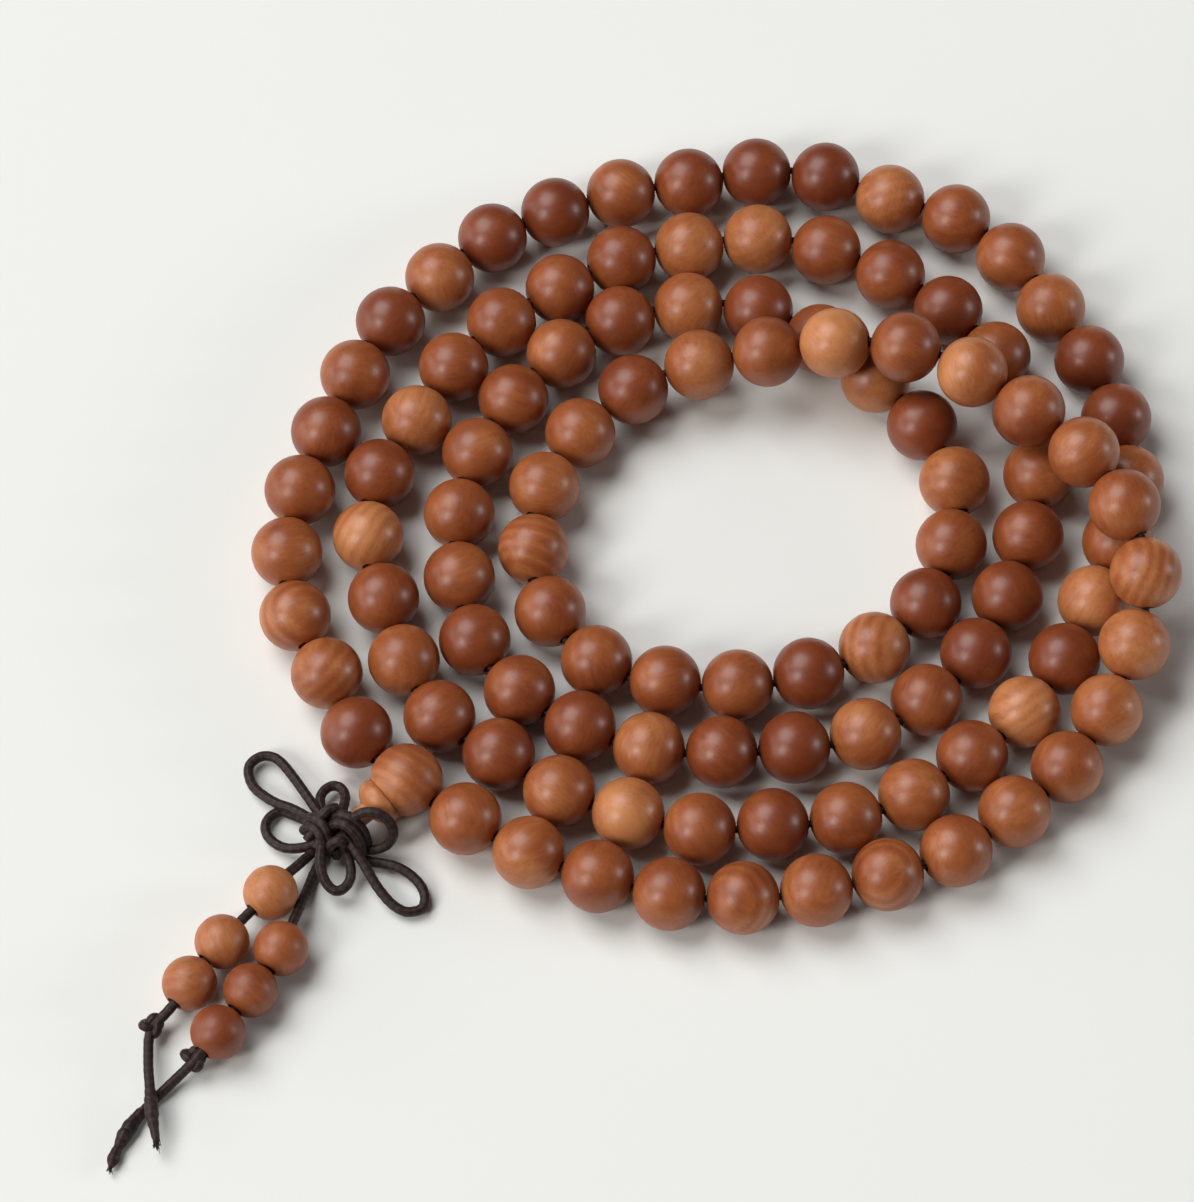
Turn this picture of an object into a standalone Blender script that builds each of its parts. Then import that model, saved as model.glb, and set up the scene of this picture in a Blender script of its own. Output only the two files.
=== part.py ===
"""A mala: 108 wood beads on one closed cord, wound four times round, with a guru bead, a tower bead and a knotted tassel.

Route points are in millimetres, in a frame whose XY origin is near the coil's centre and whose Z = 0 is the table.
Everything else is in metres. The coil is centred on the origin once the beads have settled on the cord.
"""

import math

import bmesh
import bpy
import numpy as np
from mathutils import Matrix, Vector

MM = 0.001

# Main beads.
BEAD_RADIUS = 0.00395
BEAD_BORE_RADIUS = 0.00095
BEAD_PITCH = 0.00791
BEAD_CLEARANCE = 0.00791
BEAD_SHOULDER = math.radians(37.0)
BEAD_SIDES = 10

# Cord through the strand, and the thicker cord of the tassel.
STRAND_CORD_RADIUS = 0.00042
TASSEL_CORD_RADIUS = 0.00055
CORD_BEVEL = 2

# Small beads on the two tails.
SMALL_BEAD_RADIUS = 0.00295
SMALL_BEAD_BORE_RADIUS = 0.00085

# The tower bead points out of the guru bead, down a little.
TOWER_HEADING = math.radians(218.5)
TOWER_DROP = math.radians(8.0)
TOWER_BORE_RADIUS = 0.0009
TOWER_SEAT = 0.0036
# (radius, distance from the guru bead's centre) in millimetres.
TOWER_OUTLINE = [(1.8, 3.66), (2.5, 4.05), (2.7, 4.6), (2.45, 5.2), (1.8, 5.7), (1.5, 6.1), (1.5, 6.9)]
GURU_SINK = 0.00005

# Beads that turn singly: from FIRST_SINGLE round past the guru bead to LAST_SINGLE. The others come in runs.
FIRST_SINGLE = 93
LAST_SINGLE = 20
RUN_LENGTH = 9

# Bead centres along the strand, outer turn first. The first point is the guru bead. A third number is the height
# where the strand climbs over the turns below it; every other bead lies on the table.
GURU_POINT = [(-34, -31)]
TURN_ONE = [
    (-39.5, -25), (-43, -18), (-46, -11), (-47, -3.5), (-46, 4), (-43.5, 11.5), (-40.5, 18.5),
    (-36.5, 25.5), (-31, 31.5), (-25, 36.5), (-18, 40), (-10.5, 42.5), (-3, 44), (5, 45),
    (13, 44.5), (20, 42), (27.5, 39), (33.5, 34), (38, 27.5), (42, 20.5), (44.5, 13.5),
    (45.5, 5.5), (44, -2.5), (41.5, -10), (38, -17), (33.5, -23), (27.5, -28.5), (21, -33),
    (14, -35.5), (6, -36.5), (-2, -37), (-10.5, -35), (-17.5, -32.5), (-24, -28), (-30, -23.5),
]
TURN_TWO = [
    (-34, -16.5), (-36.5, -10), (-38.5, -1.5), (-37.5, 6), (-33.5, 13), (-30, 19), (-25, 24.5),
    (-17.5, 30.5), (-10.5, 34), (-2.5, 35.5), (5, 37.5), (13, 35.5), (20.5, 32), (27, 27),
    (32, 21), (35, 14), (36, 6.5), (34.5, -1.5), (32, -9), (28.5, -16), (22.5, -22),
    (16, -26), (8, -27.5), (0, -28), (-8, -27.5), (-15, -25), (-22, -20.5),
]
TURN_THREE = [
    (-27, -14.5), (-28.5, -6.5), (-28.5, 1.5), (-26.5, 9), (-22.5, 16), (-17.5, 22), (-10.5, 26),
    (-3, 27.5), (4.5, 27), (11, 23.5), (18, 18.5), (23, 12.5), (26.5, 5.5), (26, -2.5),
    (23, -10), (17, -15.5), (10, -18.5), (2, -20), (-6, -19.5), (-13.5, -17), (-18.5, -11),
]
TURN_FOUR = [
    (-20.5, -3.5), (-19.5, 4.5), (-15.5, 11.5), (-9.5, 17, 4.5), (-2, 19.5, 5.5), (6, 20, 7.5),
    (13.5, 19.5, 10.5), (21, 18.5, 11.5), (28.5, 15.5, 11), (34.5, 10.5, 11), (40.5, 5, 11.5),
    (44.5, -1.5, 12), (46.5, -9, 9.5), (45.5, -16, 6.5), (42, -23, 4.5), (37.5, -29.5), (31.5, -35),
    (25.5, -39.5), (18, -42.5), (10.5, -44.5), (2, -45.5), (-6, -45), (-14, -42.5), (-21, -39.5),
    (-28, -35.5),
]
STRAND = GURU_POINT + TURN_ONE + TURN_TWO + TURN_THREE + TURN_FOUR

# Tassel cords. Each loop of the bow starts and ends inside the knot.
BOW_CENTRE = (-41.7, -36.8, 2.5)
BOW_CORE = (2.4, 2.2, 1.5)
BOW_LOOPS = {
    "upper_left": [
        (-42.5, -35.8, 2.4), (-44.3, -33, 2.2), (-46, -30.3, 1.8), (-47.5, -28.2, 1.5), (-48.6, -27.3, 1.3),
        (-49.9, -27.2, 1.2), (-51, -28, 1.1), (-51.2, -29.2, 1.1), (-50.6, -30.8, 1.2), (-49.4, -32, 1.4),
        (-48, -33, 1.7), (-46.3, -33.8, 2), (-44.5, -35, 2.4), (-42.6, -36.4, 2.6),
    ],
    "left": [
        (-42.8, -36.2, 1.5), (-44.6, -34.9, 1), (-46.2, -34.1, 0.9), (-47.6, -33.6, 0.8), (-48.7, -34.2, 0.8),
        (-49.2, -35.3, 0.9), (-48.9, -36.6, 1), (-48, -37.6, 1.2), (-46.8, -38.2, 1.4), (-45.2, -38.3, 1.7),
        (-42.8, -37.8, 2),
    ],
    "top": [
        (-42.4, -36, 2), (-43.1, -33.8, 1.9), (-43.3, -32.4, 1.7), (-42.8, -31.3, 1.5), (-41.9, -30.8, 1.4),
        (-41, -31.2, 1.5), (-40.6, -32.3, 1.8), (-40.7, -33.6, 2.2), (-41.2, -36, 2.6),
    ],
    "right": [
        (-40.6, -36.6, 3.2), (-39.5, -36.2, 4.9), (-38.6, -36, 5.7), (-37.6, -36, 6), (-36.6, -36.2, 5.9),
        (-35.6, -36.8, 5.1), (-35.2, -37.6, 3.9), (-35.8, -38.2, 2.6), (-36.9, -38.5, 1.9), (-38.2, -38.5, 1.8),
        (-39.5, -38.1, 2.2), (-40.9, -37.4, 2.5),
    ],
    "bottom": [
        (-42, -37.6, 2.6), (-42.9, -38.7, 2.8), (-43.1, -40.1, 2.8), (-42.8, -41.8, 2.5), (-42.1, -43, 2.1),
        (-41.2, -43.5, 2), (-40.3, -43, 2), (-39.8, -41.9, 2), (-39.9, -40.4, 2.1), (-40.8, -37.8, 2.2),
    ],
    "lower_right": [
        (-40.6, -37.4, 3.2), (-39.3, -39.2, 3), (-38.3, -40.7, 2.5), (-37.5, -42, 2), (-36.6, -43.3, 1.6),
        (-35.4, -44.6, 1.2), (-34.1, -45.4, 1), (-32.9, -45.4, 0.9), (-32, -44.9, 0.9), (-31.8, -43.7, 0.9),
        (-32.3, -42.4, 1), (-33.4, -41.2, 1.1), (-34.9, -40.3, 1.2), (-36.5, -39.8, 1), (-38, -39.5, 0.9),
        (-39.5, -38.8, 1.2), (-41, -37.6, 1.6),
    ],
}
LEFT_TAIL = [
    (-44.4, -39.2, 1.6), (-45.5, -40.7, 2.4), (-46.7, -42.1, 2.95), (-48.3, -44.1, 2.95), (-50.9, -46.9, 2.95),
    (-53.3, -49.8, 2.95), (-55.1, -52.3, 2.95), (-56.6, -54.6, 2.95), (-58.2, -57, 2.9), (-59.4, -58.2, 2.3),
    (-60.4, -59, 1.7), (-60.8, -60.3, 1.5), (-60.8, -61.8, 1.6), (-60.7, -63.8, 1.8), (-60.5, -65.6, 2),
    (-60.3, -67.4, 2), (-60.1, -69.2, 2), (-59.8, -70.8, 2), (-59.5, -72.2, 2),
]
RIGHT_TAIL = [
    (-43.1, -39.2, 0.65), (-43.8, -40.8, 0.65), (-44.3, -42.3, 0.8), (-44.9, -44.5, 1.8), (-45.8, -47.5, 2.9),
    (-47, -50.6, 2.95), (-48.6, -53.1, 2.95), (-50.1, -55.4, 2.95), (-51.8, -57.8, 2.95), (-53.4, -60.2, 2.95),
    (-55, -62.4, 2.95), (-56, -63.4, 2.4), (-57.2, -64.3, 1.5), (-58.7, -65.6, 0.9), (-60.3, -67.2, 0.6),
    (-61.8, -69, 0.6), (-63, -71, 0.6), (-63.8, -72.7, 0.7), (-64.3, -74.5, 0.8),
]
LEFT_BEADS = [(-48.3, -44.1, 2.95), (-53.3, -49.8, 2.95), (-56.6, -54.6, 2.95)]
RIGHT_BEADS = [(-47, -50.6, 2.95), (-50.1, -55.4, 2.95), (-53.4, -60.2, 2.95)]
LEFT_STOPPER = (-60.5, -59.2, 1.6)
RIGHT_STOPPER = (-56.2, -63.6, 2.1)
STOPPER_SIZE = (1.5, 1.2, 1.1)


# ---------------------------------------------------------------- laying the strand

def settle(route):
    """Bead centres in metres: neighbours one pitch apart, no two beads nearer than touching, none below the table."""
    table = BEAD_RADIUS / MM
    centres = np.array([(p[0], p[1], p[2] if len(p) == 3 else table) for p in route], float)
    flat = np.array([len(p) == 2 for p in route])
    pitch, touching = BEAD_PITCH / MM, BEAD_CLEARANCE / MM
    count = len(centres)
    apart = np.abs(np.subtract.outer(np.arange(count), np.arange(count)))
    strangers = (apart > 1) & (apart < count - 1)
    for _ in range(400):
        step = np.roll(centres, -1, axis=0) - centres
        length = np.linalg.norm(step, axis=1)[:, None]
        pull = step * (length - pitch) / length * 0.45
        centres += pull
        centres -= np.roll(pull, 1, axis=0)
        offset = centres[:, None] - centres[None]
        gap = np.linalg.norm(offset, axis=2) + np.eye(count)
        crowded = strangers & (gap < touching)
        push = np.where(crowded, (touching - gap) / gap, 0)[..., None] * offset
        centres += push.sum(axis=1) * 0.4
        centres[:, 2] = np.where(flat, table, np.maximum(centres[:, 2], table))
    return centres * MM


def lay_strand():
    """Centres, bore directions and gap points of the guru bead (0) and the beads (1 to 108), and the centring shift."""
    centres = settle(STRAND)
    middle = (centres.min(axis=0) + centres.max(axis=0)) / 2
    shift = np.array([-middle[0], -middle[1], 0.0])
    centres = centres + shift
    centres[0, 2] -= GURU_SINK
    along = np.roll(centres, -1, axis=0) - np.roll(centres, 1, axis=0)
    along /= np.linalg.norm(along, axis=1)[:, None]
    half = bead_half_length()
    gaps = (centres + along * half + np.roll(centres - along * half, -1, axis=0)) / 2
    return centres, along, gaps, shift


def bead_half_length():
    return math.sqrt(BEAD_RADIUS**2 - BEAD_BORE_RADIUS**2)


def smooth(points, steps=3):
    """A Catmull-Rom curve through the points."""
    points = [Vector(p) for p in points]
    padded = [2 * points[0] - points[1]] + points + [2 * points[-1] - points[-2]]
    curve = []
    for a, b, c, d in zip(padded, padded[1:], padded[2:], padded[3:]):
        for k in range(steps):
            t = k / steps
            curve.append(
                0.5 * (2 * b + (c - a) * t + (2 * a - 5 * b + 4 * c - d) * t**2 + (3 * b - a - 3 * c + d) * t**3)
            )
    return curve + [points[-1]]


# ---------------------------------------------------------------- scene helpers

def clear_scene():
    for thing in list(bpy.data.objects):
        bpy.data.objects.remove(thing)


def collection(name, helper=False):
    made = bpy.data.collections.new(name)
    bpy.context.scene.collection.children.link(made)
    made.hide_render = helper
    return made


def material(name, colour, roughness):
    made = bpy.data.materials.new(name)
    made.use_nodes = True
    shader = made.node_tree.nodes["Principled BSDF"]
    shader.inputs["Base Color"].default_value = (*colour, 1)
    shader.inputs["Roughness"].default_value = roughness
    made.diffuse_color = (*colour, 1)
    return made


def finish(thing, where, skin):
    where.objects.link(thing)
    thing.data.materials.clear()
    thing.data.materials.append(skin)
    return thing


def cutter(thing):
    CUTTERS.objects.link(thing)
    thing.hide_render = True
    thing.display_type = "WIRE"
    return thing


def cut(thing, other, operation="DIFFERENCE"):
    boolean = thing.modifiers.new(other.name, "BOOLEAN")
    boolean.solver = "EXACT"
    boolean.operation = operation
    boolean.object = other
    return thing


def basis(origin, direction, hint=(0, 0, -1)):
    """A matrix with Z along the direction and X as near the hint as it can be."""
    z = Vector(direction).normalized()
    x = Vector(hint)
    x = (x - z * x.dot(z)).normalized()
    y = z.cross(x)
    turned = Matrix((x, y, z)).transposed().to_4x4()
    return Matrix.Translation(Vector(origin)) @ turned


def turned(name, profile, sides, closed=True):
    """A body turned about local Z from (radius, height) points, starting on local X."""
    mesh = bpy.data.meshes.new(name)
    points = [(r, 0, h) for r, h in profile]
    edges = [(i, i + 1) for i in range(len(points) - 1)]
    if closed:
        edges.append((len(points) - 1, 0))
    mesh.from_pydata(points, edges, [])
    thing = bpy.data.objects.new(name, mesh)
    screw = thing.modifiers.new("Turn", "SCREW")
    screw.steps = screw.render_steps = sides
    screw.use_merge_vertices = True
    screw.merge_threshold = 1e-6
    screw.use_normal_calculate = True
    return thing


def tube_curve(name, points, radius, closed=False, radii=None, bevel=CORD_BEVEL):
    curve = bpy.data.curves.new(name, "CURVE")
    curve.dimensions = "3D"
    curve.bevel_depth = radius
    curve.bevel_resolution = bevel
    curve.use_fill_caps = not closed
    curve.twist_mode = "MINIMUM"
    line = curve.splines.new("POLY")
    line.points.add(len(points) - 1)
    for k, point in enumerate(points):
        line.points[k].co = (*point, 1)
        line.points[k].radius = 1 if radii is None else radii[k]
    line.use_cyclic_u = closed
    return curve


def tube(name, points, radius, closed=False, radii=None, bevel=CORD_BEVEL):
    """The same tube as a closed mesh, so that a Boolean can use it."""
    curve = tube_curve(name, points, radius, closed, radii, bevel)
    holder = bpy.data.objects.new(name + "_path", curve)
    bpy.context.scene.collection.objects.link(holder)
    graph = bpy.context.evaluated_depsgraph_get()
    mesh = bpy.data.meshes.new_from_object(holder.evaluated_get(graph))
    bpy.data.objects.remove(holder)
    shell = bmesh.new()
    shell.from_mesh(mesh)
    bmesh.ops.remove_doubles(shell, verts=shell.verts, dist=1e-7)
    bmesh.ops.recalc_face_normals(shell, faces=shell.faces)
    shell.to_mesh(mesh)
    shell.free()
    return bpy.data.objects.new(name, mesh)


def ball(name, centre, size, segments=14, rings=8):
    """A ball, squashed to the three half sizes."""
    shell = bmesh.new()
    bmesh.ops.create_uvsphere(shell, u_segments=segments, v_segments=rings, radius=1)
    mesh = bpy.data.meshes.new(name)
    shell.to_mesh(mesh)
    shell.free()
    thing = bpy.data.objects.new(name, mesh)
    thing.matrix_world = Matrix.Translation(Vector(centre)) @ Matrix.Diagonal((*size, 1))
    return thing


def placed(points, shift):
    return [Vector(p) * MM + Vector(shift) for p in points]


# ---------------------------------------------------------------- beads

def bead_profile(radius, bore):
    """Closed (radius, height) outline of a round bead with a straight bore."""
    end = math.sqrt(radius**2 - bore**2)
    side, top = radius * math.cos(BEAD_SHOULDER), radius * math.sin(BEAD_SHOULDER)
    return [(bore, -end), (side, -top), (radius, 0), (side, top), (bore, end)]


def single_bead(name, centre, direction, radius, bore, skin):
    bead = turned(name, bead_profile(radius, bore), BEAD_SIDES)
    bead.matrix_world = basis(centre, direction)
    return finish(bead, PARTS, skin)


def bead_run(name, numbers, centres, along, gaps, skin):
    """Neighbouring beads joined by short collars round the cord, as one body with the cord's hole through it."""
    side = BEAD_RADIUS * math.cos(BEAD_SHOULDER)
    top = BEAD_RADIUS * math.sin(BEAD_SHOULDER)
    collar = BEAD_BORE_RADIUS + 0.0004
    points, radii = [gaps[numbers[0] - 1] + along[numbers[0]] * 0.0003], [collar]
    for n in numbers:
        points += [centres[n] - along[n] * top, centres[n], centres[n] + along[n] * top, gaps[n]]
        radii += [side, BEAD_RADIUS, side, collar]
    points[-1] = gaps[numbers[-1]] - along[numbers[-1]] * 0.0003
    run = tube(name, points, 1.0, radii=radii, bevel=3)
    bore_path = [gaps[n] for n in range(numbers[0] - 1, numbers[-1] + 1)]
    bore_path[0] = bore_path[0] - along[numbers[0]] * 0.002
    bore_path[-1] = bore_path[-1] + along[numbers[-1]] * 0.002
    bore = cutter(tube(name + "_bore", bore_path, BEAD_BORE_RADIUS, bevel=3))
    return finish(cut(run, bore), PARTS, skin)


def tower_axis(guru):
    heading = Vector((math.cos(TOWER_HEADING), math.sin(TOWER_HEADING), 0)) * math.cos(TOWER_DROP)
    return Vector(guru), (heading - Vector((0, 0, math.sin(TOWER_DROP)))).normalized()


def table_block(centre):
    """A block whose top is the table, which gives the guru bead its flat."""
    shell = bmesh.new()
    bmesh.ops.create_cube(shell, size=1)
    mesh = bpy.data.meshes.new("guru_flat")
    shell.to_mesh(mesh)
    shell.free()
    thing = bpy.data.objects.new("guru_flat", mesh)
    thing.matrix_world = Matrix.Translation((centre[0], centre[1], -0.002)) @ Matrix.Diagonal((0.01, 0.01, 0.004, 1))
    return cutter(thing)


def guru_bead(centre, direction, skin):
    """The three-hole bead: a bore for the strand, a side hole and seat for the tower, and a flat to stand on."""
    profile = [(0, -BEAD_RADIUS)]
    for step in range(1, 8):
        angle = math.radians(-90 + 22.5 * step)
        profile.append((BEAD_RADIUS * math.cos(angle), BEAD_RADIUS * math.sin(angle)))
    profile.append((0, BEAD_RADIUS))
    bead = turned("guru_bead", profile, 16, closed=False)
    bead.matrix_world = basis(centre, direction)
    origin, out = tower_axis(centre)
    span = Vector(direction) * 0.006
    cut(bead, cutter(tube("guru_strand_hole", [origin - span, origin + span], BEAD_BORE_RADIUS, bevel=3)))
    cut(bead, cutter(tube("guru_side_hole", [origin, origin + out * 0.006], TOWER_BORE_RADIUS, bevel=3)))
    cut(bead, cutter(tube("guru_seat", [origin + out * TOWER_SEAT, origin + out * 0.0062], 0.0035, bevel=3)))
    cut(bead, table_block(centre))
    return finish(bead, PARTS, skin)


def tower_bead(centre, skin):
    """A bell and a stem turned in one piece, bored for the tassel's cord."""
    origin, out = tower_axis(centre)
    outline = [(radius * MM, height * MM) for radius, height in TOWER_OUTLINE]
    start, end = outline[0][1], outline[-1][1]
    profile = [(TOWER_BORE_RADIUS, start)] + outline + [(TOWER_BORE_RADIUS, end)]
    bead = turned("tower_bead", profile, 14)
    bead.matrix_world = basis(origin, out)
    return finish(bead, PARTS, skin)


# ---------------------------------------------------------------- cords

def strand_cord(gaps, skin):
    """The closed cord, which bends only in the gaps between the beads."""
    return finish(bpy.data.objects.new("strand_cord", tube_curve("strand_cord", gaps, STRAND_CORD_RADIUS, closed=True)),
                  PARTS, skin)


def tower_cord(centre, skin):
    """The doubled cord's way out: through the guru bead's side hole and the tower."""
    origin, out = tower_axis(centre)
    path = [origin + out * 0.0013, origin + out * 0.004, origin + out * (TOWER_OUTLINE[-1][1] * MM + 0.00015)]
    return finish(tube("tower_cord", path, TASSEL_CORD_RADIUS), PARTS, skin)


def bow(centre, shift, skin):
    """The knot with its six loops and the short neck that meets the tower, as one tied piece."""
    knot = ball("bow_knot", placed([BOW_CENTRE], shift)[0], [size * MM for size in BOW_CORE])
    origin, out = tower_axis(centre)
    start = origin + out * (TOWER_OUTLINE[-1][1] * MM + 0.0003)
    neck = tube("bow_neck", [start, start + out * 0.0006, placed([BOW_CENTRE], shift)[0]], TASSEL_CORD_RADIUS)
    cut(knot, cutter(neck), "UNION")
    for name, points in BOW_LOOPS.items():
        loop = tube("bow_loop_" + name, smooth(placed(points, shift), 2), TASSEL_CORD_RADIUS, bevel=1)
        cut(knot, cutter(loop), "UNION")
    return finish(knot, PARTS, skin)


def tail(name, points, stopper, shift, skin):
    """A tail cord from the knot to its cut end, with the stopper knot tied in it."""
    cord = tube(name, smooth(placed(points, shift), 2), TASSEL_CORD_RADIUS)
    knot = cutter(ball(name + "_knot", placed([stopper], shift)[0], [size * MM for size in STOPPER_SIZE], 12, 7))
    cut(cord, knot, "UNION")
    return finish(cord, PARTS, skin)


def small_beads(side, route, spots, shift, skin):
    """Beads threaded on a tail: each one's bore follows the tail where it sits."""
    path = smooth(placed(route, shift), 2)
    for n, spot in enumerate(placed(spots, shift), 1):
        nearest = min(range(1, len(path) - 1), key=lambda k: (path[k] - spot).length)
        direction = path[nearest + 1] - path[nearest - 1]
        single_bead(f"{side}_bead_{n}", spot, direction, SMALL_BEAD_RADIUS, SMALL_BEAD_BORE_RADIUS, skin)


# ---------------------------------------------------------------- build

clear_scene()
PARTS = collection("mala_prayer_beads")
CUTTERS = collection("cutters", helper=True)

wood = material("sandalwood", (0.42, 0.17, 0.08), 0.38)
pale_wood = material("pale_sandalwood", (0.55, 0.27, 0.13), 0.42)
cord = material("waxed_cord", (0.035, 0.024, 0.02), 0.6)

centres, along, gaps, shift = lay_strand()
last = len(centres) - 1

singles = list(range(FIRST_SINGLE, last + 1)) + list(range(1, LAST_SINGLE + 1))
for n in singles:
    single_bead(f"bead_{n:03d}", centres[n], along[n], BEAD_RADIUS, BEAD_BORE_RADIUS, wood)
for first in range(LAST_SINGLE + 1, FIRST_SINGLE, RUN_LENGTH):
    numbers = list(range(first, first + RUN_LENGTH))
    bead_run(f"bead_run_{numbers[0]:03d}_{numbers[-1]:03d}", numbers, centres, along, gaps, wood)

guru_bead(centres[0], along[0], pale_wood)
tower_bead(centres[0], pale_wood)
strand_cord(gaps, cord)
tower_cord(centres[0], cord)
bow(centres[0], shift, cord)
tail("tail_left_cord", LEFT_TAIL, LEFT_STOPPER, shift, cord)
tail("tail_right_cord", RIGHT_TAIL, RIGHT_STOPPER, shift, cord)
small_beads("left", LEFT_TAIL, LEFT_BEADS, shift, pale_wood)
small_beads("right", RIGHT_TAIL, RIGHT_BEADS, shift, pale_wood)
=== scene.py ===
"""Looks of the mala: 108 turned wood beads, guru and tower beads, and a waxed-cord tassel with six small beads.

Route points are in millimetres. placed() and lay_strand() turn them into metres.
"""

import math

import bpy
import numpy as np
from mathutils import Euler, Matrix, Vector


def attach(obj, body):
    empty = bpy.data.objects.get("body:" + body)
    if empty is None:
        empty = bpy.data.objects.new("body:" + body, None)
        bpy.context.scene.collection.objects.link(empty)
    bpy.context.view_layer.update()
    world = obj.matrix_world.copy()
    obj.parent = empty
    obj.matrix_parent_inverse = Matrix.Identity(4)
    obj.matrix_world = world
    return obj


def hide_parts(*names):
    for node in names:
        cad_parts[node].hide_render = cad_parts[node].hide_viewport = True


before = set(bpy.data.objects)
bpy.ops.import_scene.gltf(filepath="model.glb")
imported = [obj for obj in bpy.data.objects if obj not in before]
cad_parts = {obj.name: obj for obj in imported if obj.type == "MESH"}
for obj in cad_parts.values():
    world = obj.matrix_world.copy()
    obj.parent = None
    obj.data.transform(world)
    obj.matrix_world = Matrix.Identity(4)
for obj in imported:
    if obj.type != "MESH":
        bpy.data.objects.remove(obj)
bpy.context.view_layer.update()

MM = 0.001

# ---------------------------------------------------------------- sizes and routes, as in the CAD part

BEAD_RADIUS = 0.00395
BEAD_BORE_RADIUS = 0.00095
BEAD_PITCH = 0.00791
BEAD_CLEARANCE = 0.00791
STRAND_CORD_RADIUS = 0.00042
TASSEL_CORD_RADIUS = 0.00055
SMALL_BEAD_RADIUS = 0.00295
SMALL_BEAD_BORE_RADIUS = 0.00085
TOWER_HEADING = math.radians(218.5)
TOWER_DROP = math.radians(8.0)
TOWER_BORE_RADIUS = 0.0009
GURU_SINK = 0.00005
FIRST_SINGLE = 93
LAST_SINGLE = 20
RUN_LENGTH = 9

# Bead centres along the strand, outer turn first. The first point is the guru bead. A third number is a height,
# where the strand climbs over the turns below it. The points are a fitted layout rounded to half a
# millimetre, with some of them changed.
GURU_POINT = [(-34, -31)]
TURN_ONE = [
    (-39.5, -25), (-43, -18), (-46, -11), (-47, -3.5), (-46, 4), (-43.5, 11.5), (-40.5, 18.5),
    (-36.5, 25.5), (-31, 31.5), (-25, 36.5), (-18, 40), (-10.5, 42.5), (-3, 44), (5, 45),
    (13, 44.5), (20, 42), (27.5, 39), (33.5, 34), (38, 27.5), (42, 20.5), (44.5, 13.5),
    (45.5, 5.5), (44, -2.5), (41.5, -10), (38, -17), (33.5, -23), (27.5, -28.5), (21, -33),
    (14, -35.5), (6, -36.5), (-2, -37), (-10.5, -35), (-17.5, -32.5), (-24, -28), (-30, -23.5),
]
TURN_TWO = [
    (-34, -16.5), (-36.5, -10), (-38.5, -1.5), (-37.5, 6), (-33.5, 13), (-30, 19), (-25, 24.5),
    (-17.5, 30.5), (-10.5, 34), (-2.5, 35.5), (5, 37.5), (13, 35.5), (20.5, 32), (27, 27),
    (32, 21), (35, 14), (36, 6.5), (34.5, -1.5), (32, -9), (28.5, -16), (22.5, -22),
    (16, -26), (8, -27.5), (0, -28), (-8, -27.5), (-15, -25), (-22, -20.5),
]
TURN_THREE = [
    (-27, -14.5), (-28.5, -6.5), (-28.5, 1.5), (-26.5, 9), (-22.5, 16), (-17.5, 22), (-10.5, 26),
    (-3, 27.5), (4.5, 27), (11, 23.5), (18, 18.5), (23, 12.5), (26.5, 5.5), (26, -2.5),
    (23, -10), (17, -15.5), (10, -18.5), (2, -20), (-6, -19.5), (-13.5, -17), (-18.5, -11),
]
TURN_FOUR = [
    (-20.5, -3.5), (-19.5, 4.5), (-15.5, 11.5), (-9.5, 17, 4.5), (-2, 19.5, 5.5), (6, 20, 7.5),
    (13.5, 19.5, 10.5), (21, 18.5, 11.5), (28.5, 15.5, 11), (34.5, 10.5, 11), (40.5, 5, 11.5),
    (44.5, -1.5, 12), (46.5, -9, 9.5), (45.5, -16, 6.5), (42, -23, 4.5), (37.5, -29.5), (31.5, -35),
    (25.5, -39.5), (18, -42.5), (10.5, -44.5), (2, -45.5), (-6, -45), (-14, -42.5), (-21, -39.5),
    (-28, -35.5),
]
STRAND = GURU_POINT + TURN_ONE + TURN_TWO + TURN_THREE + TURN_FOUR

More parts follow.
